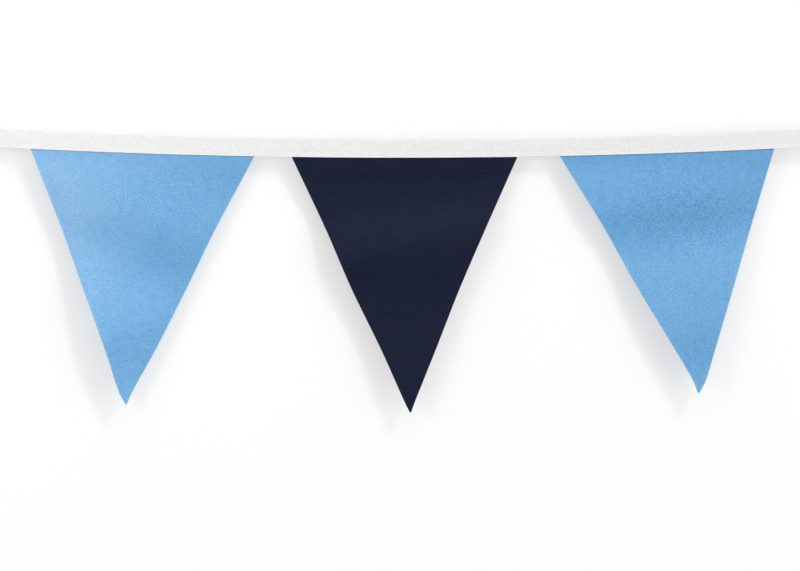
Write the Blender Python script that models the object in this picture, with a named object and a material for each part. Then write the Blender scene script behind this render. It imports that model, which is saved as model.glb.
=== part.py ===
"""Fabric bunting: a folded white header tape with three plain triangular pennants in it.

X runs along the tape, to the right as the bunting is looked at. Z is up. -Y faces the viewer.
The origin is the middle of the tape's folded top edge.
"""
import math
from collections import namedtuple

import bmesh
import bpy

MM = 0.001

# Header tape: one strip folded in half lengthways over the pennants' top edges.
TAPE_WIDTH = 16 * MM            # folded, from the fold down to the two raw edges
TAPE_CLOTH = 1.0 * MM           # one leaf of the fold
TAPE_HALF_LENGTH = 370 * MM     # from the middle to each square-cut end
TAPE_SAG = 10 * MM              # how far the middle hangs below the ends
SEWN_SHUT_GAP = 0.3 * MM        # between the leaves where no pennant lies in them
OPENING_RAMP = 7 * MM           # length over which the leaves part for a pennant
FOLD_STEPS = 6                  # facets round the fold
RAMP_STEPS = 4                  # stretches of tape along each ramp
RUN_STEPS = 5                   # and along each pennant's top edge

# Pennants: one layer of cloth each, tucked up between the leaves of the tape.
PENNANT_CLOTH = 1.0 * MM
SEAM_CLEARANCE = 0.3 * MM       # from the pennant's cloth to each leaf
PENNANT_TUCK = 11 * MM          # height of pennant hidden in the tape
FOLD_ONSET = 22 * MM            # drop below the tape over which the folds grow to full depth
PENNANT_COLUMNS = 16
PENNANT_ROWS = 34
CORNER_PASSES = 8               # rounds of correction that settle a hidden corner's place
SHARP_ANGLE = math.radians(40)

# Each pennant is cut to these sections, in mm: how far the section is below the tape's
# folded edge at the middle of the bunting, and where its two ends are along the tape.
Section = namedtuple("Section", "fall left right")
LEFT_OUTLINE = (
    Section(27, -321.3, -136.2),
    Section(81, -300.2, -165.0),
    Section(134, -281.2, -190.8),
    Section(187, -261.8, -217.6),
    Section(223, -250.3, -237.4),
    Section(235, -244.8, -242.6),
)
MIDDLE_OUTLINE = (
    Section(27, -91.0, 99.0),
    Section(81, -65.6, 75.0),
    Section(134, -42.6, 52.2),
    Section(187, -16.8, 31.4),
    Section(232, 3.4, 13.4),
    Section(242, 7.8, 10.0),
)
RIGHT_OUTLINE = (
    Section(27, 149.4, 326.8),
    Section(81, 182.6, 310.8),
    Section(134, 212.2, 295.2),
    Section(187, 244.2, 279.4),
    Section(214, 259.8, 271.2),
    Section(223, 264.2, 266.4),
)

# Each soft fold is a swelling towards the viewer along a slanted line, in mm: the drop of its
# middle below the tape, how far that is to the right of the pennant's middle, the slant (fall
# for each mm to the right), the height (negative for a hollow), the spread above and below
# the line, and the reach along it to each side. A middle may lie past the cloth's edge, for a
# fold whose end only just reaches the cloth.
Fold = namedtuple("Fold", "drop across slant height spread reach")
LEFT_FOLDS = (
    Fold(53, -5, 0.32, 0.8, 23, 33),
    Fold(64, -119, 0.40, -7.5, 46, 64),
    Fold(85, 57, -0.26, 4.0, 44, 89),
    Fold(103, -6, 0.19, -4.1, 37, 59),
    Fold(159, -11, -0.40, 3.0, 32, 120),
)
MIDDLE_FOLDS = (
    Fold(50, -7, -0.08, -3.9, 41, 120),
    Fold(77, 6, -0.16, 7.7, 29, 95),
    Fold(146, 0, -0.36, -1.2, 21, 43),
)
RIGHT_FOLDS = (
    Fold(45, -3, -0.08, 2.4, 25, 110),
    Fold(67, 32, -0.18, -3.5, 38, 118),
    Fold(168, 33, -0.35, 3.8, 60, 85),
    Fold(195, -20, -0.40, -1.8, 20, 51),
)

# swing is how far the tip hangs towards the viewer, in mm. turn is how much the right side
# comes nearer for each mm across, at the tip's level (negative where the left side does).
Pennant = namedtuple("Pennant", "name cloth outline folds swing turn")
PENNANTS = (
    Pennant("pennant_left", "light_blue_cloth", LEFT_OUTLINE, LEFT_FOLDS, 2.7, -0.19),
    Pennant("pennant_middle", "navy_cloth", MIDDLE_OUTLINE, MIDDLE_FOLDS, 7.0, 0.04),
    Pennant("pennant_right", "light_blue_cloth", RIGHT_OUTLINE, RIGHT_FOLDS, 7.0, -0.06),
)

Cloth = namedtuple("Cloth", "name colour roughness")
CLOTHS = (
    Cloth("white_tape", (0.80, 0.80, 0.78), 0.9),
    Cloth("light_blue_cloth", (0.16, 0.38, 0.66), 0.7),
    Cloth("navy_cloth", (0.012, 0.016, 0.036), 0.5),
)


def make_material(cloth):
    material = bpy.data.materials.new(cloth.name)
    material.use_nodes = True
    shader = material.node_tree.nodes["Principled BSDF"]
    shader.inputs["Base Color"].default_value = (*cloth.colour, 1)
    shader.inputs["Roughness"].default_value = cloth.roughness
    shader.inputs["Metallic"].default_value = 0


def smooth_step(share):
    """0 below 0, 1 above 1, and an even S between."""
    share = min(max(share, 0), 1)
    return share * share * (3 - 2 * share)


def tape_top(x):
    """Height of the tape's folded edge: a shallow parabola hung from the ends."""
    return TAPE_SAG * (x / TAPE_HALF_LENGTH) ** 2


def tape_bottom(x):
    return tape_top(x) - TAPE_WIDTH


def edge_at(outline, side, fall):
    """Where a pennant's side, left or right, is at a fall, all in mm: a smooth curve through
    the sections, straight on above the first one."""
    falls = [section.fall for section in outline]
    places = [getattr(section, side) for section in outline]
    if fall <= falls[0]:
        slope = (places[1] - places[0]) / (falls[1] - falls[0])
        return places[0] + slope * (fall - falls[0])
    low = 0
    while low < len(falls) - 2 and fall > falls[low + 1]:
        low += 1
    high = low + 1
    before, after = max(low - 1, 0), min(high + 1, len(falls) - 1)
    span = falls[high] - falls[low]
    slope_low = (places[high] - places[before]) / (falls[high] - falls[before]) * span
    slope_high = (places[after] - places[low]) / (falls[after] - falls[low]) * span
    share = (fall - falls[low]) / span
    return ((2 * share**3 - 3 * share**2 + 1) * places[low]
            + (share**3 - 2 * share**2 + share) * slope_low
            + (3 * share**2 - 2 * share**3) * places[high]
            + (share**3 - share**2) * slope_high)


def hidden_corner(outline, side):
    """The top corner of the cloth: on the side's line, a tuck above the tape's lower edge."""
    x = getattr(outline[0], side) * MM
    for _ in range(CORNER_PASSES):
        z = tape_bottom(x) + PENNANT_TUCK
        x = edge_at(outline, side, -z / MM) * MM
    return x, z


def side_points(outline, side):
    """Points down a pennant's side, evenly spaced in height from its corner to its tip."""
    top = hidden_corner(outline, side)[1]
    tip = -outline[-1].fall * MM
    heights = [top + (tip - top) * row / PENNANT_ROWS for row in range(PENNANT_ROWS + 1)]
    return [(edge_at(outline, side, -z / MM) * MM, z) for z in heights]


def stand_out(pennant, x, z):
    """How far the cloth stands towards the viewer from the plane of the tape."""
    outline = pennant.outline
    drop = (tape_bottom(x) - z) / MM
    if drop <= 0:
        return 0
    lowered = drop / (outline[-1].fall - TAPE_WIDTH / MM)
    across = x / MM - (outline[0].left + outline[0].right) / 2
    total = pennant.swing * lowered**1.5 + pennant.turn * lowered * across
    for fold in pennant.folds:
        along = across - fold.across
        away = (drop - fold.drop - fold.slant * along) / fold.spread
        total += fold.height * math.exp(-away**2 - (along / fold.reach) ** 4)
    return total * smooth_step(drop * MM / FOLD_ONSET) * MM


def make_pennant(pennant):
    """A grid of cloth between the two cut sides, thickened from its front to its back."""
    shape = bmesh.new()
    sides = zip(side_points(pennant.outline, "left"), side_points(pennant.outline, "right"))
    grid = []
    for (left_x, left_z), (right_x, right_z) in sides:
        line = []
        for column in range(PENNANT_COLUMNS + 1):
            share = column / PENNANT_COLUMNS
            x = left_x + (right_x - left_x) * share
            z = left_z + (right_z - left_z) * share
            front = -stand_out(pennant, x, z) - PENNANT_CLOTH / 2
            line.append(shape.verts.new((x, front, z)))
        grid.append(line)
    for upper, lower in zip(grid, grid[1:]):
        for column in range(PENNANT_COLUMNS):
            shape.faces.new((upper[column], lower[column], lower[column + 1], upper[column + 1]))
    shape.normal_update()
    bmesh.ops.solidify(shape, geom=shape.faces[:], thickness=PENNANT_CLOTH)
    make_object(pennant.name, shape, pennant.cloth)


def pocket_ends(pennant):
    """Where the tape's leaves start and stop being parted to their full gap by a pennant."""
    left = hidden_corner(pennant.outline, "left")[0] - SEAM_CLEARANCE
    right = hidden_corner(pennant.outline, "right")[0] + SEAM_CLEARANCE
    return left, right


def half_gap(x):
    """Half the gap between the leaves: open for each pennant, sewn shut between them."""
    shut = SEWN_SHUT_GAP / 2
    parted = PENNANT_CLOTH / 2 + SEAM_CLEARANCE
    opened = 0
    for pennant in PENNANTS:
        left, right = pocket_ends(pennant)
        opened = max(opened, 1 - smooth_step(max(left - x, x - right) / OPENING_RAMP))
    return shut + (parted - shut) * opened


def tape_stations():
    """Where the tape's sections are taken: its ends, and each pocket with its two ramps."""
    stations = [-TAPE_HALF_LENGTH]
    for pennant in PENNANTS:
        left, right = pocket_ends(pennant)
        ramp = [OPENING_RAMP * step / RAMP_STEPS for step in range(1, RAMP_STEPS + 1)]
        stations += [left - away for away in reversed(ramp)]
        stations += [left + (right - left) * step / RUN_STEPS for step in range(RUN_STEPS + 1)]
        stations += [right + away for away in ramp]
    return stations + [TAPE_HALF_LENGTH]


def tape_section(gap):
    """The folded strip cut across, as (y, z) round its outline from the front raw edge."""
    outer = gap + TAPE_CLOTH
    fold_centre = -outer
    points = []
    for radius, start, end in ((outer, math.pi, 0), (gap, 0, math.pi)):
        side = math.cos(start) * radius
        points.append((side, -TAPE_WIDTH))
        for step in range(FOLD_STEPS + 1):
            angle = start + (end - start) * step / FOLD_STEPS
            points.append((math.cos(angle) * radius, fold_centre + math.sin(angle) * radius))
        points.append((-side, -TAPE_WIDTH))
    return points


def make_tape():
    """Sections along the sag, bridged one to the next, with both ends cut square."""
    shape = bmesh.new()
    rings = []
    for x in tape_stations():
        section = tape_section(half_gap(x))
        rings.append([shape.verts.new((x, y, tape_top(x) + z)) for y, z in section])
    count = len(rings[0])
    for ring, following in zip(rings, rings[1:]):
        for index in range(count):
            after = (index + 1) % count
            shape.faces.new((ring[index], ring[after], following[after], following[index]))
    for ring in (rings[0], rings[-1]):
        for outer in range(count // 2 - 1):
            inner = count - 1 - outer
            shape.faces.new((ring[outer], ring[outer + 1], ring[inner - 1], ring[inner]))
    make_object("header_tape", shape, "white_tape")


def make_object(name, shape, cloth):
    bmesh.ops.recalc_face_normals(shape, faces=shape.faces)
    mesh = bpy.data.meshes.new(name)
    shape.to_mesh(mesh)
    shape.free()
    mesh.materials.append(bpy.data.materials[cloth])
    mesh.shade_smooth()
    mesh.set_sharp_from_angle(angle=SHARP_ANGLE)
    bpy.context.scene.collection.objects.link(bpy.data.objects.new(name, mesh))


def main():
    for thing in list(bpy.data.objects):
        bpy.data.objects.remove(thing)
    for cloth in CLOTHS:
        make_material(cloth)
    make_tape()
    for pennant in PENNANTS:
        make_pennant(pennant)


main()
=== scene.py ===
# %% [markdown]
# # Fabric bunting
# Three plain triangular pennants, light blue, navy and light blue, hang from a white tape that
# is folded in half over their top edges and sewn shut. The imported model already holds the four
# pieces as plain solids. They stay the fixed frame here, and this lesson dresses them: each
# solid is stood for by a thin sheet of cloth with its weave, its sewing and its soft folds.
#
# The frame is loaded first, because every later size is read from it or kept beside it.

# %% Load the frame
import math
from collections import namedtuple

import bpy
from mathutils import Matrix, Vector, noise


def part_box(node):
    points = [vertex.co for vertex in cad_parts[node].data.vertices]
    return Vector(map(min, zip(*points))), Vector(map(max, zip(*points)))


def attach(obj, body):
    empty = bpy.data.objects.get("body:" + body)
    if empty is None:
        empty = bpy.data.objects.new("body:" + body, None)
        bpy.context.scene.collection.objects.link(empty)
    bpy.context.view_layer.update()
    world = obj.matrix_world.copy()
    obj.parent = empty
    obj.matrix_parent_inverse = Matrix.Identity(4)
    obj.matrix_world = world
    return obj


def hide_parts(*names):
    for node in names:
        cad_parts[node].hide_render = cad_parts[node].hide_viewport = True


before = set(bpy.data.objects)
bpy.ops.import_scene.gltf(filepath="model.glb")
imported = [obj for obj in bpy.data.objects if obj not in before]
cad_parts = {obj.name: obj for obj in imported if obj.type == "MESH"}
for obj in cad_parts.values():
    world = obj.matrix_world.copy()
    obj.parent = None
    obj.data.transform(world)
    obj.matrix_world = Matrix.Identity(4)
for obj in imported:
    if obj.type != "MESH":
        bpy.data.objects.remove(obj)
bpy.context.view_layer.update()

MM = 0.001

# %% [markdown]
# ## Small helpers
# An operator in Blender acts on whatever is selected, and loading the frame leaves its nodes
# selected. So everything is deselected before a new piece is begun, and each modifier is
# applied as soon as it is set, which leaves a plain mesh at the origin, as the frame's are.
# A piece is smoothed last: its curved faces blend, and only a real crease stays crisp.

# %% Helpers for pieces
CREASE_ANGLE = math.radians(50)     # an edge that bends more than this stays crisp


def deselect_all():
    for thing in bpy.context.selected_objects:
        thing.select_set(False)


def make_active(piece):
    deselect_all()
    piece.select_set(True)
    bpy.context.view_layer.objects.active = piece


def name_active(name):
    piece = bpy.context.active_object
    piece.name = piece.data.name = name
    return piece


def apply_modifier(piece, name, kind, **settings):
    """Adds a modifier, sets it and applies it at once."""
    make_active(piece)
    modifier = piece.modifiers.new(name, kind)
    for setting, value in settings.items():
        setattr(modifier, setting, value)
    bpy.ops.object.modifier_apply(modifier=modifier.name)


def smooth_and_count(piece):
    make_active(piece)
    bpy.ops.object.shade_smooth_by_angle(angle=CREASE_ANGLE)
    print(f"{piece.name}: {len(piece.data.vertices)} points, {len(piece.data.polygons)} faces")


# %% [markdown]
# ## The tape's line
# The tape hangs between two fixings outside the picture, so its folded edge is a shallow curve.
# Over such a small sag a parabola is as good as a chain's own curve, and easier to write. Its
# length, sag and width are all in the box of the tape's solid: the middle of the folded edge
# is the origin, so the lowest point there is one tape width down.

# %% Tape sizes, read from the frame
tape_low, tape_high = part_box("header_tape")
TAPE_HALF_LENGTH = tape_high.x
TAPE_SAG = tape_high.z
TAPE_WIDTH = -tape_low.z
print(f"tape {2000 * TAPE_HALF_LENGTH:.1f} mm long, {1000 * TAPE_WIDTH:.1f} mm wide, "
      f"sagging {1000 * TAPE_SAG:.1f} mm")


def tape_top(x):
    return TAPE_SAG * (x / TAPE_HALF_LENGTH) ** 2


def tape_bottom(x):
    return tape_top(x) - TAPE_WIDTH


# %% [markdown]
# ## How each pennant is cut
# A pennant's two long sides aren't quite straight, because the cloth was cut by hand and hangs
# a little out of true. A few sections are enough to say so: how far each one is below the
# tape's folded edge at the middle, and where its two ends are along the tape. A smooth curve
# is drawn through them, as a flexible ruler would. The last section is the blunt tip, a little
# lower and narrower than the solid's.

# %% Outlines in mm
Section = namedtuple("Section", "fall left right")
LEFT_OUTLINE = (
    Section(27, -321.3, -136.2),
    Section(81, -300.2, -165.0),
    Section(134, -281.2, -190.8),
    Section(187, -261.8, -217.6),
    Section(223, -250.3, -237.4),
    Section(235.2, -244.1, -242.8),
)
MIDDLE_OUTLINE = (
    Section(27, -91.0, 99.0),
    Section(81, -65.6, 75.0),
    Section(134, -42.6, 52.2),
    Section(187, -16.8, 31.4),
    Section(232, 3.4, 13.4),
    Section(242.2, 8.4, 9.7),
)
RIGHT_OUTLINE = (
    Section(27, 149.4, 326.8),
    Section(81, 182.6, 310.8),
    Section(134, 212.2, 295.2),
    Section(187, 244.2, 279.4),
    Section(214, 259.8, 271.2),
    Section(225, 264.1, 265.4),
)
OUTLINES = {"left": LEFT_OUTLINE, "middle": MIDDLE_OUTLINE, "right": RIGHT_OUTLINE}
for name, outline in OUTLINES.items():
    print(f"{name} pennant: {outline[0].right - outline[0].left:.0f} mm wide just below the "
          f"tape, tip {outline[-1].fall:.0f} mm down")

# %% [markdown]
# Between two sections the side is a Hermite curve: it leaves each section in the direction
# that joins the section's two neighbours, so there is no kink anywhere.


# %% Read a side off its outline
def edge_at(outline, side, fall):
    """Where a side, left or right, is at a fall, all in mm. Above the first section it runs
    straight on."""
    falls = [section.fall for section in outline]
    places = [getattr(section, side) for section in outline]
    if fall <= falls[0]:
        slope = (places[1] - places[0]) / (falls[1] - falls[0])
        return places[0] + slope * (fall - falls[0])
    low = 0
    while low < len(falls) - 2 and fall > falls[low + 1]:
        low += 1
    high = low + 1
    before = max(low - 1, 0)
    after = min(high + 1, len(falls) - 1)
    span = falls[high] - falls[low]
    slope_low = (places[high] - places[before]) / (falls[high] - falls[before]) * span
    slope_high = (places[after] - places[low]) / (falls[after] - falls[low]) * span
    share = (fall - falls[low]) / span
    return ((2 * share**3 - 3 * share**2 + 1) * places[low]
            + (share**3 - 2 * share**2 + share) * slope_low
            + (3 * share**2 - 2 * share**3) * places[high]
            + (share**3 - share**2) * slope_high)


for name, outline in OUTLINES.items():
    half_way = outline[-1].fall / 2
    left, right = (edge_at(outline, side, half_way) for side in ("left", "right"))
    print(f"{name} pennant: {right - left:.1f} mm wide {half_way:.0f} mm down")

# %% [markdown]
# ## How each pennant hangs
# No fold here is sharp. Each is a soft swelling or hollow that runs nearly level across the
# cloth, so each is one row of a table: a smooth bump along a slanted line. A row says how far
# below the tape the fold is and how far across from the pennant's middle, how steeply it
# slants, how high it stands, below zero for a hollow, how far it spreads up and down, and how
# far it reaches to each side. A pennant also swings out towards its tip, and turns a little.
# The solids were built from this same table, so a sheet made from it lies inside its solid's
# skin, all but the tip.

# %% Folds in mm
Fold = namedtuple("Fold", "drop across slant height spread reach")
LEFT_FOLDS = (
    Fold(53, -5, 0.32, 0.8, 23, 33),
    Fold(64, -119, 0.40, -7.5, 46, 64),
    Fold(85, 57, -0.26, 4.0, 44, 89),
    Fold(103, -6, 0.19, -4.1, 37, 59),
    Fold(159, -11, -0.40, 3.0, 32, 120),
)
MIDDLE_FOLDS = (
    Fold(50, -7, -0.08, -3.9, 41, 120),
    Fold(77, 6, -0.16, 7.7, 29, 95),
    Fold(146, 0, -0.36, -1.2, 21, 43),
)
RIGHT_FOLDS = (
    Fold(45, -3, -0.08, 2.4, 25, 110),
    Fold(67, 32, -0.18, -3.5, 38, 118),
    Fold(168, 33, -0.35, 3.8, 60, 85),
    Fold(195, -20, -0.40, -1.8, 20, 51),
)

Pennant = namedtuple("Pennant", "piece node slot outline folds swing turn")
PENNANTS = (
    Pennant("left_pennant_cloth", "pennant_left", "light_blue_cloth",
            LEFT_OUTLINE, LEFT_FOLDS, 2.7, -0.19),
    Pennant("middle_pennant_cloth", "pennant_middle", "navy_cloth",
            MIDDLE_OUTLINE, MIDDLE_FOLDS, 7.0, 0.04),
    Pennant("right_pennant_cloth", "pennant_right", "light_blue_cloth",
            RIGHT_OUTLINE, RIGHT_FOLDS, 7.0, -0.06),
)
for pennant in PENNANTS:
    print(f"{pennant.piece}: {len(pennant.folds)} folds")

# %% [markdown]
# The seam holds the cloth flat, so the folds grow from nothing there to their full height a
# little way down. All the folds are added up, as ripples that cross on water are.

# %% Add the folds up
FOLD_ONSET = 22     # drop below the tape, in mm, over which the folds grow to full depth
SWING_POWER = 1.5   # above 1, so that the cloth bows out as it nears the tip
END_POWER = 4       # high, so that a fold keeps its height and then ends


def smooth_step(share):
    """0 below 0, 1 above 1, and an even S between."""
    share = min(max(share, 0.0), 1.0)
    return share * share * (3 - 2 * share)


def stand_out(pennant, x, z):
    """How far the cloth stands towards the viewer from the tape's plane, in metres."""
    outline = pennant.outline
    drop = (tape_bottom(x) - z) / MM
    if drop <= 0:
        return 0.0
    lowered = drop / (outline[-1].fall - TAPE_WIDTH / MM)
    across = x / MM - (outline[0].left + outline[0].right) / 2
    total = pennant.swing * lowered**SWING_POWER + pennant.turn * lowered * across
    for fold in pennant.folds:
        along = across - fold.across
        away = (drop - fold.drop - fold.slant * along) / fold.spread
        total += fold.height * math.exp(-away**2 - (along / fold.reach) ** END_POWER)
    return total * smooth_step(drop / FOLD_ONSET) * MM


for pennant in PENNANTS:
    tip = pennant.outline[-1]
    out = stand_out(pennant, (tip.left + tip.right) / 2 * MM, -tip.fall * MM)
    print(f"{pennant.piece}: its tip stands out {out / MM:.1f} mm")

# %% [markdown]
# ## Cutting and hanging a pennant
# A maker cuts the triangle flat and hangs it. The sheet is made in that order: a flat grid is
# added, each of its points is moved to its place on the hanging cloth, and Solidify gives it
# the thickness of thin bunting cloth. A cloth simulation could drape it too, but it would find
# its own folds, and the ones in the table are the ones that this bunting hangs in.
#
# Real cloth is never as even as a formula, so a very shallow unevenness is added: broad
# undulations all over, and small puckers where the cloth leaves the seam. Both fade out
# towards the seam's slot, so the sheet never touches the tape.

# %% Sizes of the pennant cloth
CLOTH_THICKNESS = 0.35 * MM
PENNANT_TUCK = 11 * MM              # height of cloth hidden in the tape
CLOTH_COLUMNS = 120
CLOTH_ROWS = 150
CORNER_PASSES = 8                   # rounds of correction that settle a hidden corner's place
WAVE_LENGTH = 34 * MM               # of the broad undulations
WAVE_HEIGHT = 0.10 * MM
PUCKER_LENGTH = 9 * MM              # of the puckers along the seam
PUCKER_HEIGHT = 0.05 * MM
PUCKER_DROP = 9 * MM                # how far below the tape they fade away
SLIP_LENGTH = 4 * PUCKER_LENGTH     # over which the puckers crowd together or draw apart
SLIP_LAYER = 7                      # a layer of the noise that the undulations don't use
ONSET_OF_UNEVENNESS = 5 * MM
SIDE_SLANT = 0.9                    # square to a leaning side, as a share of straight across
print(f"pennant cloth {CLOTH_THICKNESS / MM:.2f} mm thick, tucked in {PENNANT_TUCK / MM:.0f} mm")


# %% Hidden corners and unevenness
def hidden_corner(outline, side):
    """A top corner of the cloth: on the side's line, a tuck above the tape's lower edge."""
    x = getattr(outline[0], side) * MM
    for _ in range(CORNER_PASSES):
        z = tape_bottom(x) + PENNANT_TUCK
        x = edge_at(outline, side, -z / MM) * MM
    return x, z


def unevenness(x, z):
    drop = tape_bottom(x) - z
    broad = WAVE_HEIGHT * noise.noise(Vector((x / WAVE_LENGTH, 0, z / WAVE_LENGTH)))
    slip = noise.noise(Vector((x / SLIP_LENGTH, SLIP_LAYER, 0)))
    pucker = PUCKER_HEIGHT * math.sin(2 * math.pi * (x / PUCKER_LENGTH + slip))
    fade = math.exp(-max(drop, 0) / PUCKER_DROP)
    return (broad + pucker * fade) * smooth_step(drop / ONSET_OF_UNEVENNESS)


for name, outline in OUTLINES.items():
    (left, _), (right, _) = (hidden_corner(outline, side) for side in ("left", "right"))
    print(f"{name} pennant: {(right - left) / MM:.1f} mm wide at its hidden top")

# %% [markdown]
# The weave has to follow the cloth, not the room. So each point also keeps its place on the
# flat cloth, in metres, as the sheet's UV map: how far it is across from the bunting's middle
# and how far down from the tape's fold. The folds are so shallow that both can be read
# straight off the hanging cloth. An attribute keeps how far the point is from the nearest cut
# side, where threads loosen.

# %% Keep the place on the flat cloth
PLAN = "cloth_plan"             # the UV map with each point's place on the flat cloth
EDGE = "from_cut_edge"          # the attribute with the distance to the nearest cut side


def write_plan(mesh, places):
    """places holds (across, down) in metres for each point of the mesh."""
    while mesh.uv_layers:
        mesh.uv_layers.remove(mesh.uv_layers[0])
    plan = mesh.uv_layers.new(name=PLAN)
    for loop in mesh.loops:
        plan.uv[loop.index].vector = places[loop.vertex_index]


# %% Lay a flat grid out as a hanging pennant
def hang_pennant(pennant):
    deselect_all()
    bpy.ops.mesh.primitive_grid_add(x_subdivisions=CLOTH_COLUMNS, y_subdivisions=CLOTH_ROWS)
    cloth = name_active(pennant.piece)
    top = {side: hidden_corner(pennant.outline, side)[1] for side in ("left", "right")}
    tip = -pennant.outline[-1].fall * MM
    half = cloth.dimensions.x / 2
    places, from_edge = [], []
    for point in cloth.data.vertices:
        share = (point.co.x / half + 1) / 2
        lowered = (1 - point.co.y / half) / 2
        ends = []
        for side in ("left", "right"):
            z = top[side] + (tip - top[side]) * lowered
            ends.append(Vector((edge_at(pennant.outline, side, -z / MM) * MM, 0, z)))
        place = ends[0].lerp(ends[1], share)
        place.y = -stand_out(pennant, place.x, place.z) - unevenness(place.x, place.z)
        point.co = place
        places.append((place.x, -place.z))
        width = (ends[1] - ends[0]).length
        from_edge.append(width * min(share, 1 - share) * SIDE_SLANT)
    write_plan(cloth.data, places)
    cloth.data.attributes.new(EDGE, "FLOAT", "POINT").data.foreach_set("value", from_edge)
    apply_modifier(cloth, "Cloth thickness", "SOLIDIFY", thickness=CLOTH_THICKNESS, offset=0)
    smooth_and_count(cloth)
    return cloth


pennant_cloths = [hang_pennant(pennant) for pennant in PENNANTS]

# %% [markdown]
# ## Folding the tape
# The header is one strip of woven cotton tape, twice as wide as it looks, folded lengthways
# over the pennants. It is laid out like the pennants: a flat grid whose long side follows the
# sag and whose short side goes up the front, round the fold and down the back. The row of
# machine sewing pulls both leaves in, in a shallow trough with a dimple at each needle hole,
# and the two raw edges flare out a little below it.

# %% Sizes of the tape
TAPE_THICKNESS = 0.6 * MM
LEAF_GAP = 0.32 * MM                # half the space between the leaves, for the pennant's cloth
SEWING_HEIGHT = 4.3 * MM            # of the stitch row above the raw edges
SEWING_PITCH = 3.2 * MM             # from one needle hole to the next
TROUGH_DEPTH = 0.12 * MM
TROUGH_SPREAD = 0.8 * MM
DIMPLE_SHARE = 0.3                  # of the trough's depth, which only the needle holes have
FLARE = 0.10 * MM                   # how far a raw edge stands out
FLARE_HEIGHT = 1.6 * MM
TAPE_STATIONS = 924
TAPE_STEPS = 48
TAPE_WAVE_LENGTH = 28 * MM
TAPE_WAVE_HEIGHT = 0.05 * MM
TAPE_LAYER = 11                     # a layer of the noise for each leaf, this far from 0

LEAF_PLANE = LEAF_GAP + TAPE_THICKNESS / 2          # of a leaf's middle, from the tape's plane
LEAF_HEIGHT = TAPE_WIDTH - LEAF_GAP - TAPE_THICKNESS
STRIP_WIDTH = 2 * LEAF_HEIGHT + math.pi * LEAF_PLANE
print(f"tape strip {1000 * STRIP_WIDTH:.1f} mm wide before it is folded")


# %% Where each point of the strip goes
def sewn_in(x, height):
    """How far the sewing pulls a leaf in, at a height above its raw edge."""
    hole = 0.5 + 0.5 * math.cos(2 * math.pi * x / SEWING_PITCH)
    trough = math.exp(-((height - SEWING_HEIGHT) / TROUGH_SPREAD) ** 2)
    return TROUGH_DEPTH * trough * (1 - DIMPLE_SHARE + DIMPLE_SHARE * hole)


def tape_place(x, girth):
    """Where a point of the strip lies: x along it, girth from the front raw edge across it."""
    if LEAF_HEIGHT < girth < STRIP_WIDTH - LEAF_HEIGHT:
        angle = (girth - LEAF_HEIGHT) / LEAF_PLANE
        return Vector((x, -LEAF_PLANE * math.cos(angle),
                       tape_bottom(x) + LEAF_HEIGHT + LEAF_PLANE * math.sin(angle)))
    side = -1 if girth <= LEAF_HEIGHT else 1
    height = girth if side < 0 else STRIP_WIDTH - girth
    flare = FLARE * smooth_step(1 - height / FLARE_HEIGHT)
    wave = TAPE_WAVE_HEIGHT * noise.noise(
        Vector((x / TAPE_WAVE_LENGTH, TAPE_LAYER * side, height / TAPE_WAVE_LENGTH)))
    wave = abs(wave) * smooth_step(1 - height / LEAF_HEIGHT)
    out = LEAF_PLANE - sewn_in(x, height) + flare + wave
    return Vector((x, side * out, tape_bottom(x) + height))


# %% Fold the strip over the pennants
def fold_tape():
    deselect_all()
    bpy.ops.mesh.primitive_grid_add(x_subdivisions=TAPE_STATIONS, y_subdivisions=TAPE_STEPS)
    tape = name_active("tape_cloth")
    half = tape.dimensions.x / 2
    places = []
    for point in tape.data.vertices:
        x = TAPE_HALF_LENGTH * point.co.x / half
        girth = STRIP_WIDTH * (point.co.y / half + 1) / 2
        point.co = tape_place(x, girth)
        places.append((x, girth))
    write_plan(tape.data, places)
    apply_modifier(tape, "Tape thickness", "SOLIDIFY", thickness=TAPE_THICKNESS, offset=0)
    smooth_and_count(tape)
    return tape


tape_cloth = fold_tape()

# %% [markdown]
# ## The row of sewing
# A lockstitch looks alike from both sides: a short length of thread lies on the cloth, dives
# into one needle hole and comes up from the next. One stitch is modelled from a round of
# thread, extruded step by step along a low arch. An Array repeats it along the tape, and each
# copy is then lifted to the sag. The back row is the front one turned half round.

# %% Model one stitch
THREAD_RADIUS = 0.17 * MM
THREAD_SIDES = 8
STITCH_STEPS = 8
STITCH_SPACE = 0.3 * MM             # between the ends of two stitches, in a needle hole
STITCH_LENGTH = SEWING_PITCH - STITCH_SPACE
STITCH_ARCH = 0.26 * MM             # how deep its ends dive below its middle
ARCH_POWER = 3                      # high, so that it lies level and dives at its ends
FIRST_STITCH = SEWING_PITCH / 2 - TAPE_HALF_LENGTH
STITCH_COUNT = int(2 * TAPE_HALF_LENGTH / SEWING_PITCH)
THREAD_SEAT = THREAD_RADIUS / 3     # of the thread's middle, above the trough's floor
THREAD_PLANE = LEAF_PLANE + TAPE_THICKNESS / 2 - TROUGH_DEPTH + THREAD_SEAT


def stitch_depth(share):
    """How far behind its highest point the thread is, share of the way along the stitch."""
    return STITCH_ARCH * abs(2 * share - 1) ** ARCH_POWER


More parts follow.
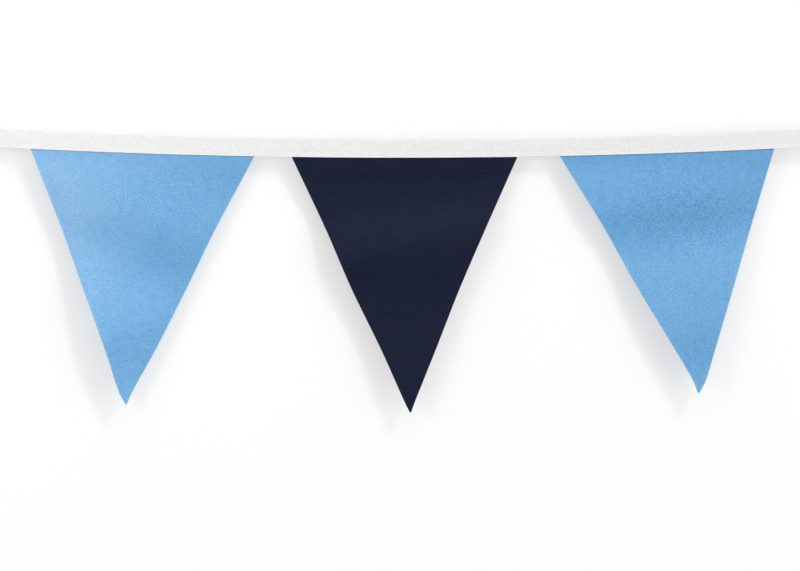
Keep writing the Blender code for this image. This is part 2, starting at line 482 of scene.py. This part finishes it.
def model_stitch():
    deselect_all()
    left = FIRST_STITCH - STITCH_LENGTH / 2
    bpy.ops.mesh.primitive_circle_add(
        vertices=THREAD_SIDES, radius=THREAD_RADIUS, fill_type="NGON",
        location=(left, stitch_depth(0) - THREAD_PLANE, SEWING_HEIGHT - TAPE_WIDTH),
        rotation=(0, math.pi / 2, 0))
    stitch = name_active("tape_sewing")
    bpy.ops.object.transform_apply()
    bpy.ops.object.mode_set(mode="EDIT")
    bpy.ops.mesh.select_all(action="SELECT")
    for step in range(STITCH_STEPS):
        rise = stitch_depth(step / STITCH_STEPS) - stitch_depth((step + 1) / STITCH_STEPS)
        bpy.ops.mesh.extrude_region_move(
            TRANSFORM_OT_translate={"value": (STITCH_LENGTH / STITCH_STEPS, -rise, 0)})
    bpy.ops.mesh.select_all(action="SELECT")
    bpy.ops.mesh.normals_make_consistent(inside=False)
    bpy.ops.object.mode_set(mode="OBJECT")
    return stitch


# %% Sew the tape
def sew_tape():
    front = model_stitch()
    apply_modifier(front, "Row", "ARRAY", count=STITCH_COUNT, use_relative_offset=False,
                   use_constant_offset=True, constant_offset_displace=(SEWING_PITCH, 0, 0))
    for point in front.data.vertices:
        point.co.z += tape_top(point.co.x)
    back = front.copy()
    back.data = front.data.copy()
    bpy.context.scene.collection.objects.link(back)
    for point in back.data.vertices:
        point.co.x, point.co.y = -point.co.x, -point.co.y
    make_active(front)
    back.select_set(True)
    bpy.ops.object.join()
    smooth_and_count(front)
    return front


tape_sewing = sew_tape()
print(f"{STITCH_COUNT} stitches on each side of the tape")

# %% [markdown]
# ## Materials
# A material is a tree of nodes that ends in a shader. Written out, each node and link would
# take a few lines, so one small class adds nodes by kind and fills in their inputs, with a
# number, a colour or another node's output alike. It also mixes two colours, and turns a
# pattern of heights into a bump, which tilts the shading as if the heights were real.


# %% A finish under construction
class Finish:
    def __init__(self, name):
        self.material = bpy.data.materials.new(name)
        self.material.use_nodes = True
        self.tree = self.material.node_tree
        self.shader = self.tree.nodes["Principled BSDF"]

    def fill_in(self, socket, value):
        if isinstance(value, bpy.types.NodeSocket):
            self.tree.links.new(value, socket)
        else:
            socket.default_value = value

    def set(self, node, inputs):
        for name, value in inputs.items():
            self.fill_in(node.inputs[name], value)

    def add(self, kind, settings=None, inputs=None):
        node = self.tree.nodes.new(kind)
        for name, value in (settings or {}).items():
            setattr(node, name, value)
        self.set(node, inputs or {})
        return node

    def maths(self, operation, first, second=0.0, third=0.0):
        node = self.add("ShaderNodeMath", {"operation": operation},
                        {0: first, 1: second, 2: third})
        return node.outputs[0]

    def mix(self, share, first, second):
        """A colour that goes from the first to the second as the share goes from 0 to 1."""
        node = self.add("ShaderNodeMix", {"data_type": "RGBA"}, {0: share, 6: first, 7: second})
        return node.outputs[2]

    def bump(self, height, depth):
        """Heights of 1 stand this deep, in metres."""
        node = self.add("ShaderNodeBump", inputs={
            "Height": height, "Distance": depth, "Strength": 1.0})
        self.set(self.shader, {"Normal": node.outputs["Normal"]})

    def finished(self):
        print(f"{self.material.name}: {len(self.tree.nodes)} nodes")
        return self.material


def colour(red, green, blue):
    return (red, green, blue, 1.0)


# %% [markdown]
# ### Patterns on the flat cloth
# All three cloths are woven, and each weave is a pattern of heights on the flat cloth. So each
# material reads the sheet's own UV map and turns metres into threads. Two crossed rows of
# waves make a plain weave, and a noise that is stretched one way makes slubs or the long level
# floats of a satin. Softer noises vary the colour and the roughness, as lint and wear do.


# %% A woven finish
class Weave(Finish):
    def plan(self, size):
        """The place on the flat cloth, counted in steps of this size, across and down."""
        across, down = size
        place = self.add("ShaderNodeUVMap", {"uv_map": PLAN}).outputs["UV"]
        mapping = self.add("ShaderNodeMapping", inputs={
            "Vector": place, "Scale": (1 / across, 1 / down, 1)})
        return mapping.outputs["Vector"]

    def blots(self, size, detail=2.0):
        """An uneven pattern from 0 to 1 whose blots have this size, across and down."""
        node = self.add("ShaderNodeTexNoise", {"noise_dimensions": "2D"}, {
            "Vector": self.plan(size), "Scale": 1.0, "Detail": detail})
        return node.outputs["Fac"]

    def threads(self, size):
        """Heights from -1 to 1 of a plain weave with threads of this size."""
        split = self.add("ShaderNodeSeparateXYZ", inputs={0: self.plan(size)})
        waves = [self.maths("SINE", self.maths("MULTIPLY", split.outputs[axis], math.pi))
                 for axis in (0, 1)]
        return self.maths("MULTIPLY", *waves)

    def around(self, pattern, swing, middle=0.0):
        """A 0 to 1 pattern made to swing by this much to each side of a middle value."""
        return self.add("ShaderNodeMapRange", {"clamp": False}, {
            "Value": pattern, "From Min": 0.0, "From Max": 1.0,
            "To Min": middle - swing, "To Max": middle + swing}).outputs["Result"]

    def fraying(self, reach, most):
        """The most at a cut side, and 0 from this reach inwards."""
        edge = self.add("ShaderNodeAttribute", {"attribute_name": EDGE}).outputs["Fac"]
        return self.add("ShaderNodeMapRange", inputs={
            "Value": edge, "From Min": 0.0, "From Max": reach,
            "To Min": most, "To Max": 0.0}).outputs["Result"]

    def total(self, first, *others):
        for other in others:
            first = self.maths("ADD", first, other)
        return first


# %% [markdown]
# ### Light blue cloth
# A thin plain weave in polyester. Close to, the crossing threads show. From a step away they
# merge into a fine, nearly colourless grain. The thread is glossy, so the cloth whitens a
# little where it turns to the light. The cut sides are paler, where threads come loose. A
# pattern's size is given across and down the cloth.

# %% Light blue
LIGHT_BLUE_DEEP = colour(0.024, 0.264, 0.579)
LIGHT_BLUE_PALE = colour(0.164, 0.430, 0.739)
FINE_THREAD_SIZE = (0.45 * MM, 0.45 * MM)
GRAIN_SIZE = (1.8 * MM, 1.45 * MM)
SLUBS_SIZE = (9 * MM, 0.7 * MM)
LINT_SIZE = (7 * MM, 6 * MM)
LIGHT_BLUE_RELIEF = 0.012 * MM


def weave_light_blue():
    cloth = Weave("light_blue_weave")
    grain = cloth.blots(GRAIN_SIZE, detail=0.0)
    slubs = cloth.blots(SLUBS_SIZE)
    lint = cloth.blots(LINT_SIZE, detail=1.0)
    tone = cloth.total(
        cloth.around(grain, swing=0.50, middle=0.5),
        cloth.around(slubs, swing=0.12),
        cloth.around(lint, swing=0.20),
        cloth.fraying(reach=0.9 * MM, most=0.37))
    cloth.set(cloth.shader, {
        "Base Color": cloth.mix(tone, LIGHT_BLUE_DEEP, LIGHT_BLUE_PALE),
        "Roughness": cloth.around(grain, swing=0.05, middle=0.415),
        "IOR": 1.9, "Specular IOR Level": 1.0, "Sheen Weight": 0.04, "Sheen Roughness": 0.4})
    height = cloth.total(cloth.threads(FINE_THREAD_SIZE), cloth.around(grain, swing=1.2))
    cloth.bump(height, LIGHT_BLUE_RELIEF)
    return cloth.finished()


light_blue_weave = weave_light_blue()

# %% [markdown]
# ### Navy satin
# The middle pennant is smoother. Satin threads float over several others before they dive, so
# its grain is drawn out along the cloth and a soft light slides over it in level streaks. The
# streaks are partly real, as rougher and smoother bands with their own bump, and partly
# painted sheen, as paler bands in the colour.

# %% Navy
NAVY_DEEP = colour(0.0073, 0.0094, 0.0245)
NAVY_PALE = colour(0.0160, 0.0204, 0.0440)
FLOATS_SIZE = (1.4 * MM, 1.9 * MM)
SHEEN_STREAKS_SIZE = (24 * MM, 2.2 * MM)
NAVY_RELIEF = 0.012 * MM


def weave_navy():
    cloth = Weave("navy_satin")
    floats = cloth.blots(FLOATS_SIZE, detail=1.0)
    sheen_streaks = cloth.blots(SHEEN_STREAKS_SIZE)
    tone = cloth.total(
        cloth.around(floats, swing=0.36, middle=0.5),
        # painted sheen: the streaks are paler bands in the colour
        cloth.around(sheen_streaks, swing=0.24),
        cloth.fraying(reach=0.8 * MM, most=0.5))
    cloth.set(cloth.shader, {
        "Base Color": cloth.mix(tone, NAVY_DEEP, NAVY_PALE),
        "Roughness": cloth.around(sheen_streaks, swing=0.03, middle=0.32),
        "Specular IOR Level": 0.125, "Sheen Weight": 0.01, "Sheen Roughness": 0.4})
    height = cloth.total(floats, cloth.around(sheen_streaks, swing=0.5))
    cloth.bump(height, NAVY_RELIEF)
    return cloth.finished()


navy_satin = weave_navy()

# %% [markdown]
# ### White tape
# The tape is thicker cotton, so its weave is coarser and matt, with small specks of painted
# shade between the threads and faint clouds where the cotton is thicker or thinner. Its raised
# threads are painted a little whiter, as a painted highlight, and the gaps between them a little
# darker.

# %% White tape
TAPE_WHITE = colour(0.808, 0.808, 0.797)
TAPE_SHADE = colour(0.624, 0.624, 0.614)
TAPE_THREAD_SIZE = (0.62 * MM, 0.62 * MM)
SPECKS_SIZE = (2.3 * MM, 1.2 * MM)
CLOUDS_SIZE = (9 * MM, 5 * MM)
# painted highlight and shade: raised threads are painted whiter, the gaps between them darker
CROSSING_SHADE = -0.06              # threads that stand up are this much whiter
TAPE_RELIEF = 0.030 * MM


def weave_tape():
    cloth = Weave("white_tape_weave")
    specks = cloth.blots(SPECKS_SIZE, detail=1.0)
    clouds = cloth.blots(CLOUDS_SIZE, detail=1.0)
    threads = cloth.threads(TAPE_THREAD_SIZE)
    tone = cloth.total(
        # painted shade: darker specks between the threads
        cloth.around(specks, swing=0.42, middle=0.35),
        cloth.maths("MULTIPLY", threads, CROSSING_SHADE),
        cloth.around(clouds, swing=0.13))
    cloth.set(cloth.shader, {
        "Base Color": cloth.mix(tone, TAPE_WHITE, TAPE_SHADE),
        "Roughness": cloth.around(specks, swing=0.05, middle=0.88),
        "Specular IOR Level": 0.2, "Sheen Weight": 0.10, "Sheen Roughness": 0.5})
    height = cloth.total(threads, cloth.around(specks, swing=1.6))
    cloth.bump(height, TAPE_RELIEF)
    return cloth.finished()


white_tape_weave = weave_tape()

# %% [markdown]
# ### Sewing thread
# The thread is the same white with a faint twist. It has no flat plan, so slanted bands run
# through it in space, and each stitch cuts them at its own place. The darker bands are painted
# shade in the grooves of the twist, over a bump of the same bands.

# %% White thread
THREAD_WHITE = colour(0.82, 0.82, 0.80)
THREAD_SHADE = colour(0.74, 0.74, 0.72)
TWIST_STEP = 0.35 * MM              # the bands' unit of length
TWIST_ANGLE = math.radians(35)
TWIST_RELIEF = 0.02 * MM


def twist_thread():
    thread = Finish("white_thread")
    place = thread.add("ShaderNodeTexCoord").outputs["Object"]
    slope = thread.add("ShaderNodeMapping", inputs={
        "Vector": place, "Scale": (1 / TWIST_STEP,) * 3,
        "Rotation": (0, TWIST_ANGLE, 0)}).outputs["Vector"]
    twist = thread.add("ShaderNodeTexWave", {"bands_direction": "X"}, {
        "Vector": slope, "Scale": 0.5, "Distortion": 0.4}).outputs["Fac"]
    thread.set(thread.shader, {
        # painted shade: darker in the grooves of the twist
        "Base Color": thread.mix(twist, THREAD_SHADE, THREAD_WHITE),
        "Roughness": 0.55, "Specular IOR Level": 0.35, "Sheen Weight": 0.05})
    thread.bump(twist, TWIST_RELIEF)
    return thread.finished()


white_thread = twist_thread()

# %% [markdown]
# ## Every piece takes its place
# Each sheet gets its material, rides on the model's one body, stands for its solid, and says
# how big it was cut. A triangle's flat area is half its box, and a little more here, because
# its tip is blunt and its sides bow.

# %% Dress the tape
materials = {"light_blue_cloth": light_blue_weave, "navy_cloth": navy_satin,
             "white_tape": white_tape_weave, "thread": white_thread}


def dress(piece, finish):
    piece.data.materials.clear()
    piece.data.materials.append(materials[finish])
    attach(piece, "root")


dress(tape_cloth, "white_tape")
dress(tape_sewing, "thread")
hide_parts("header_tape")
print(f"{tape_cloth.name}: cut {2000 * TAPE_HALF_LENGTH:.0f} by {1000 * STRIP_WIDTH:.0f} mm")


# %% Dress the pennants
def flat_cut(outline):
    """Width, height and area of the flat triangle."""
    (left, left_top), (right, right_top) = (hidden_corner(outline, side)
                                            for side in ("left", "right"))
    height = max(left_top, right_top) + outline[-1].fall * MM
    heights = [(left_top + right_top) / 2 / -MM] + [section.fall for section in outline]
    widths = [right - left] + [(section.right - section.left) * MM for section in outline]
    area = sum((b - a) * MM * (v + w) / 2
               for a, b, v, w in zip(heights, heights[1:], widths, widths[1:]))
    return right - left, height, area


for pennant, cloth in zip(PENNANTS, pennant_cloths):
    dress(cloth, pennant.slot)
    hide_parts(pennant.node)
    width, height, area = flat_cut(pennant.outline)
    print(f"{cloth.name}: cut {1000 * width:.0f} by {1000 * height:.0f} mm, "
          f"{area:.4f} square metres")

# %% [markdown]
# ## Backdrop, floor and light
# The bunting hangs a finger's width in front of a pale backdrop, which takes its soft shadow.
# Far below, the backdrop sweeps forward to the floor, as a roll of studio paper does, so no
# line shows where they meet. It glows, as a light table does, which keeps it near white. Part
# of the glow is painted light that stands for the whole room, so it fades close to the cloth,
# as painted shade where the room is hidden from the paper. The wide floor is a second, even
# paper, and nearly all of its white is glow. Seen from behind both papers are clear, so that
# they never hide the bunting's back. They throw no light back on the cloth, which would wash
# out the folds.


# %% Pale paper
PALE_SHADE, PALE_GLOW, ROOM_GLOW = 0.255, 0.449, 0.270
FLOOR_SHADE, FLOOR_GLOW = 0.04, 0.90
ROOM_REACH = 150 * MM               # how far away the cloth still hides some of the room


def pale_paper(name, shade, glow, room_glow):
    pale = Finish(name)
    # painted light of the room, dimmed near the cloth as painted shade
    room_seen = pale.add("ShaderNodeAmbientOcclusion", inputs={
        "Distance": ROOM_REACH}).outputs["AO"]
    pale.set(pale.shader, {
        "Base Color": colour(shade, shade, shade), "Roughness": 1.0,
        "Specular IOR Level": 0.0, "Emission Color": colour(1, 1, 1),
        "Emission Strength": pale.maths("MULTIPLY_ADD", room_seen, room_glow, glow)})
    clear = pale.add("ShaderNodeBsdfTransparent").outputs[0]
    behind = pale.add("ShaderNodeNewGeometry").outputs["Backfacing"]
    one_sided = pale.add("ShaderNodeMixShader", inputs={
        0: behind, 1: pale.shader.outputs[0], 2: clear})
    pale.set(pale.tree.nodes["Material Output"], {"Surface": one_sided.outputs[0]})
    return pale.finished()


# %% Backdrop and floor
WALL_GAP = 13 * MM
WALL_HALF_WIDTH, WALL_TOP = 0.80, 0.90
SWEEP_TOP, SWEEP_RADIUS, SWEEP_STEPS = -0.42, 0.60, 24
FLOOR_LEVEL = SWEEP_TOP - SWEEP_RADIUS
FLOOR_HALF_WIDTH = 6.0


def stage_surface(name, half_width, lines, material):
    """A surface across the stage through lines of (y, z), with its face to the viewer or up."""
    mesh = bpy.data.meshes.new(name)
    points = [(side * half_width, y, z) for y, z in lines for side in (-1, 1)]
    faces = [(2 * i + 2, 2 * i + 3, 2 * i + 1, 2 * i) for i in range(len(lines) - 1)]
    mesh.from_pydata(points, [], faces)
    mesh.materials.append(material)
    mesh.shade_smooth()
    surface = bpy.data.objects.new(name, mesh)
    bpy.context.scene.collection.objects.link(surface)
    surface.visible_diffuse = surface.visible_glossy = surface.visible_shadow = False


def sweep_point(share):
    angle = share * math.pi / 2
    return (WALL_GAP - SWEEP_RADIUS * (1 - math.cos(angle)),
            SWEEP_TOP - SWEEP_RADIUS * math.sin(angle))


sweep = [sweep_point(step / SWEEP_STEPS) for step in range(SWEEP_STEPS + 1)]
stage_surface("backdrop", WALL_HALF_WIDTH, [(WALL_GAP, WALL_TOP)] + sweep,
              pale_paper("pale_paper", PALE_SHADE, PALE_GLOW, ROOM_GLOW))
stage_surface("floor", FLOOR_HALF_WIDTH,
              [(FLOOR_HALF_WIDTH, FLOOR_LEVEL), (-FLOOR_HALF_WIDTH, FLOOR_LEVEL)],
              pale_paper("pale_floor", FLOOR_SHADE, FLOOR_GLOW, 0.0))
print(f"backdrop {1000 * WALL_GAP:.0f} mm behind the tape, floor {-FLOOR_LEVEL:.2f} m below it")

# %% [markdown]
# A big soft light stands low on the right and models the folds. A smaller one higher up throws
# the clear edge of the shadows, down to the left. Two more above add the satin's level gleam
# and the shade under the tape. A weak one on the left and a small near one soften that side and
# whiten the left pennant's shoulder. The last one stands behind, for the bunting's back, which
# nobody sees from the front. The room itself is white to look at but gives no light.

# %% Lights
Light = namedtuple("Light", "name place side power aim")
BIG, SMALL = 2.4, 0.5               # the sides of the square lights
MIDDLE = (0, 0, -0.13)
LEFT_SHOULDER = (-0.28, 0, -0.05)
LIGHTS = (
    Light("low", (3.79, -2.56, 0.03), BIG, 151, MIDDLE),
    Light("key", (2.46, -2.64, 2.69), SMALL, 106, MIDDLE),
    Light("upper", (0.80, -2.97, 3.29), BIG, 24, MIDDLE),
    Light("overhead", (0, -1.44, 4.24), BIG, 39, MIDDLE),
    Light("left", (-3.92, -2.27, 0.67), BIG, 13, MIDDLE),
    Light("fill", (-0.92, -1.06, 0.19), SMALL, 8.3, LEFT_SHOULDER),
    Light("behind", (-2.4, 3.4, 0.40), BIG, 260, MIDDLE),
)


def set_up(light):
    data = bpy.data.lights.new(light.name, "AREA")
    data.shape = "RECTANGLE"
    data.size = data.size_y = light.side
    data.energy = light.power
    lamp = bpy.data.objects.new(light.name, data)
    lamp.location = light.place
    way = Vector(light.aim) - lamp.location
    lamp.rotation_euler = way.to_track_quat("-Z", "Y").to_euler()
    lamp.visible_camera = False
    bpy.context.scene.collection.objects.link(lamp)


for light in LIGHTS:
    set_up(light)
print(f"{len(LIGHTS)} lights, {sum(light.power for light in LIGHTS):.0f} W in all")

# %% A white room that gives no light
room = bpy.data.worlds.new("studio")
room.use_nodes = True
room_light = room.node_tree.nodes["Background"]
room_light.inputs["Color"].default_value = colour(1, 1, 1)
looked_at = room.node_tree.nodes.new("ShaderNodeLightPath").outputs["Is Camera Ray"]
room.node_tree.links.new(looked_at, room_light.inputs["Strength"])
bpy.context.scene.world = room
print("room:", room.name)

# %% [markdown]
# ## Camera
# The picture was taken square on from far away, so a long lens stands well back, level with
# the middle of the picture. The Standard view keeps the whites white.

# %% Camera
CAMERA_DISTANCE = 4.5
PICTURE_WIDTH = 0.7111              # of the bunting's plane, across the whole picture
PICTURE_MIDDLE = (-0.0002, -0.1296)     # where the picture's middle is, across and up
SENSOR = 36.0
FARTHEST_SEEN = 50                  # past the floor's far edge, in every view

camera_data = bpy.data.cameras.new("camera")
camera_data.sensor_width = SENSOR
camera_data.lens = SENSOR * CAMERA_DISTANCE / PICTURE_WIDTH
camera_data.clip_end = FARTHEST_SEEN
camera = bpy.data.objects.new("camera", camera_data)
camera.location = (PICTURE_MIDDLE[0], -CAMERA_DISTANCE, PICTURE_MIDDLE[1])
camera.rotation_euler = (math.pi / 2, 0, 0)
bpy.context.scene.collection.objects.link(camera)
bpy.context.scene.camera = camera
bpy.context.scene.view_settings.view_transform = "Standard"
print(f"lens {camera_data.lens:.0f} mm at {CAMERA_DISTANCE} m")
